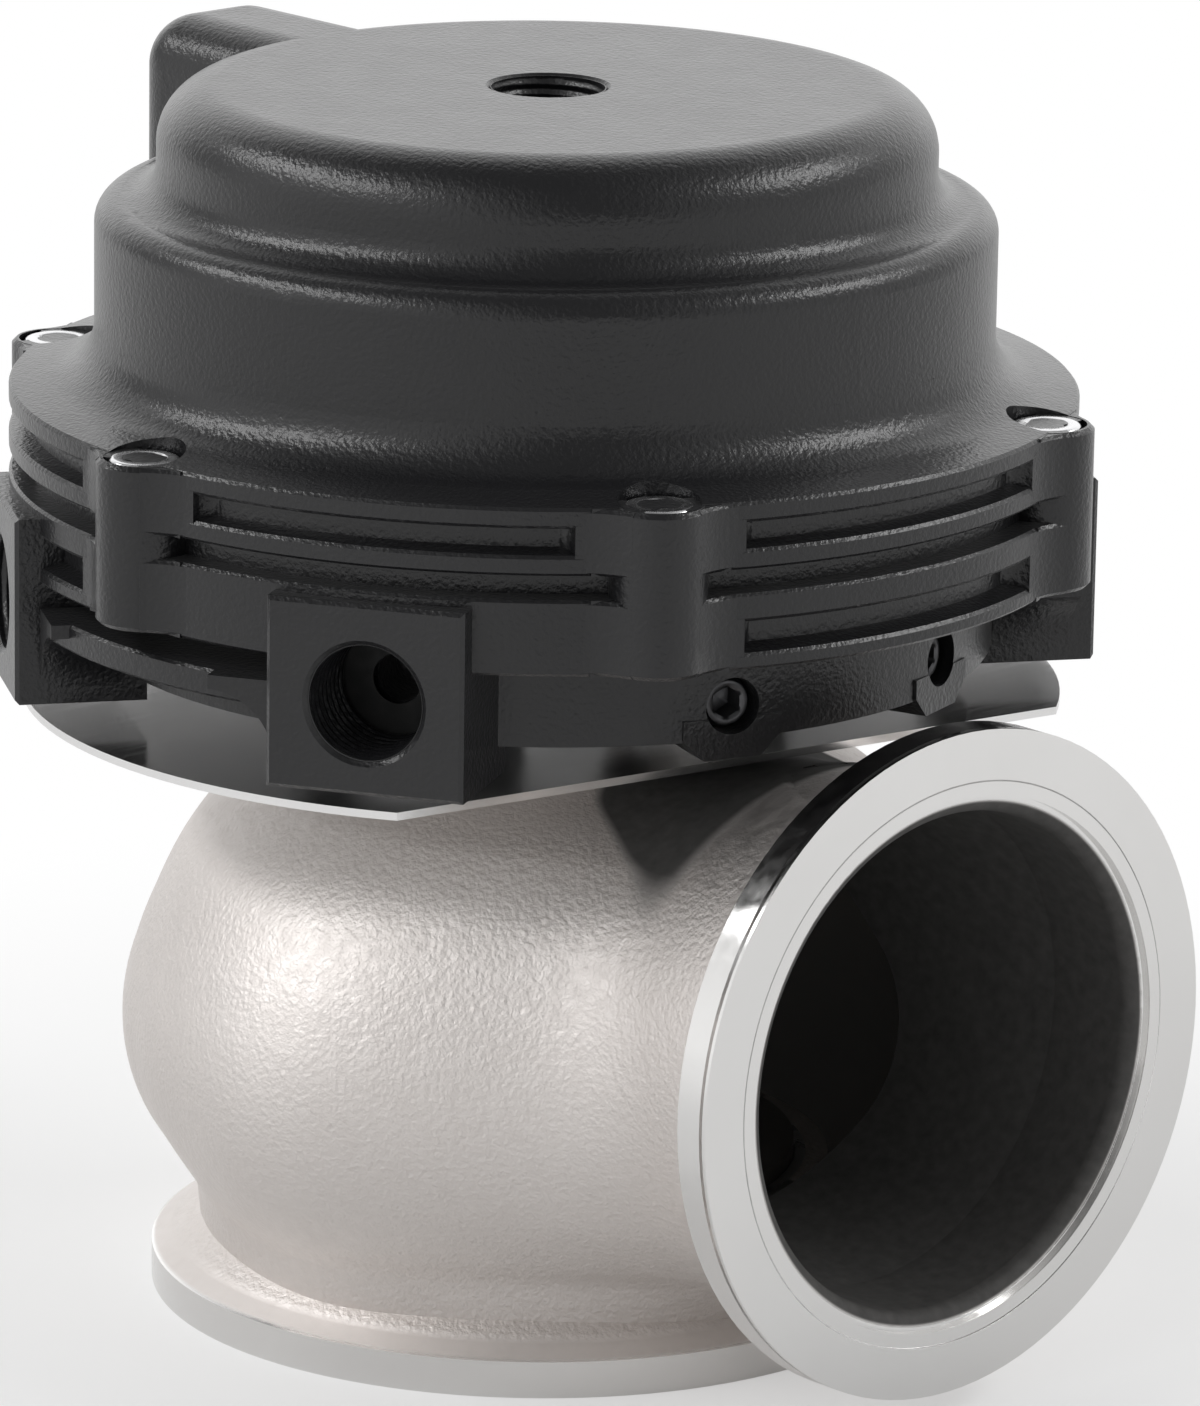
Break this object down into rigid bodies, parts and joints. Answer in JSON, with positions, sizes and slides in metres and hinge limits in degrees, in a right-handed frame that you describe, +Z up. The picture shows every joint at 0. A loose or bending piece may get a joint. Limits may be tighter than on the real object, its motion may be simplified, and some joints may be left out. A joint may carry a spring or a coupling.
{
  "type": "turbo wastegate",
  "caption": "External turbo wastegate: cast valve body with V-band inlet and outlet, poppet valve, heat shield and a diaphragm actuator that turns on a V-groove collar.",
  "frame": {"origin": "centre of the inlet flange's face, on the valve's axis", "axes": "+Z up along the valve's axis from the inlet to the actuator's top port, +X along the outlet's axis out of the outlet flange, +Y to the left when looking along +X"},
  "size_m": [0.102, 0.1, 0.1094],
  "materials": {
    "cast_stainless": "investment cast, peened satin, flange faces polished",
    "machined_steel": "machined",
    "bronze": "machined bronze",
    "polished_sheet": "mirror polished sheet steel",
    "polished_collar": "polished steel",
    "valve_steel": "ground valve steel",
    "diaphragm_rubber": "silicone over woven fabric",
    "bare_aluminium": "machined, uncoated",
    "spring_steel": "oiled spring wire",
    "black_anodised": "bead blasted and black anodised",
    "seal_rubber": "moulded fluorine rubber",
    "screw_steel": "bright stainless socket head screws",
    "black_oxide_steel": "black oxide"
  },
  "bodies": {
    "housing": {"valve_body": "cast_stainless", "valve_seat": "machined_steel", "valve_guide": "bronze", "stem_baffle": "machined_steel", "heat_shield": "polished_sheet", "clamp_collar": "polished_collar"},
    "actuator": {"actuator_base": "black_anodised", "actuator_cover": "black_anodised", "cover_screws": "screw_steel", "set_screws": "black_oxide_steel", "base_bushing": "bronze", "stem_seal": "seal_rubber", "seal_retainer": "machined_steel", "spring_locator": "machined_steel", "outer_spring": "spring_steel", "middle_spring": "spring_steel", "inner_spring": "spring_steel", "diaphragm": "diaphragm_rubber"},
    "valve_stack": {"valve": "valve_steel", "diaphragm_plate": "machined_steel", "piston": "bare_aluminium", "stem_washer": "machined_steel", "stem_nut": "machined_steel"}
  },
  "joints": [
    {"name": "actuator_clocking", "type": "hinge", "parent": "housing", "child": "actuator", "pos_m": [0, 0, 0.0632], "axis": [0, 0, 1], "range_deg": [-35, 35]},
    {"name": "valve_lift", "type": "slide", "parent": "actuator", "child": "valve_stack", "axis": [0, 0, 1], "range_m": [0, 0.01], "stiffness_N_per_m": 10000, "springref_m": -0.014, "deforming": ["outer_spring", "middle_spring", "inner_spring", "diaphragm"]}
  ]
}
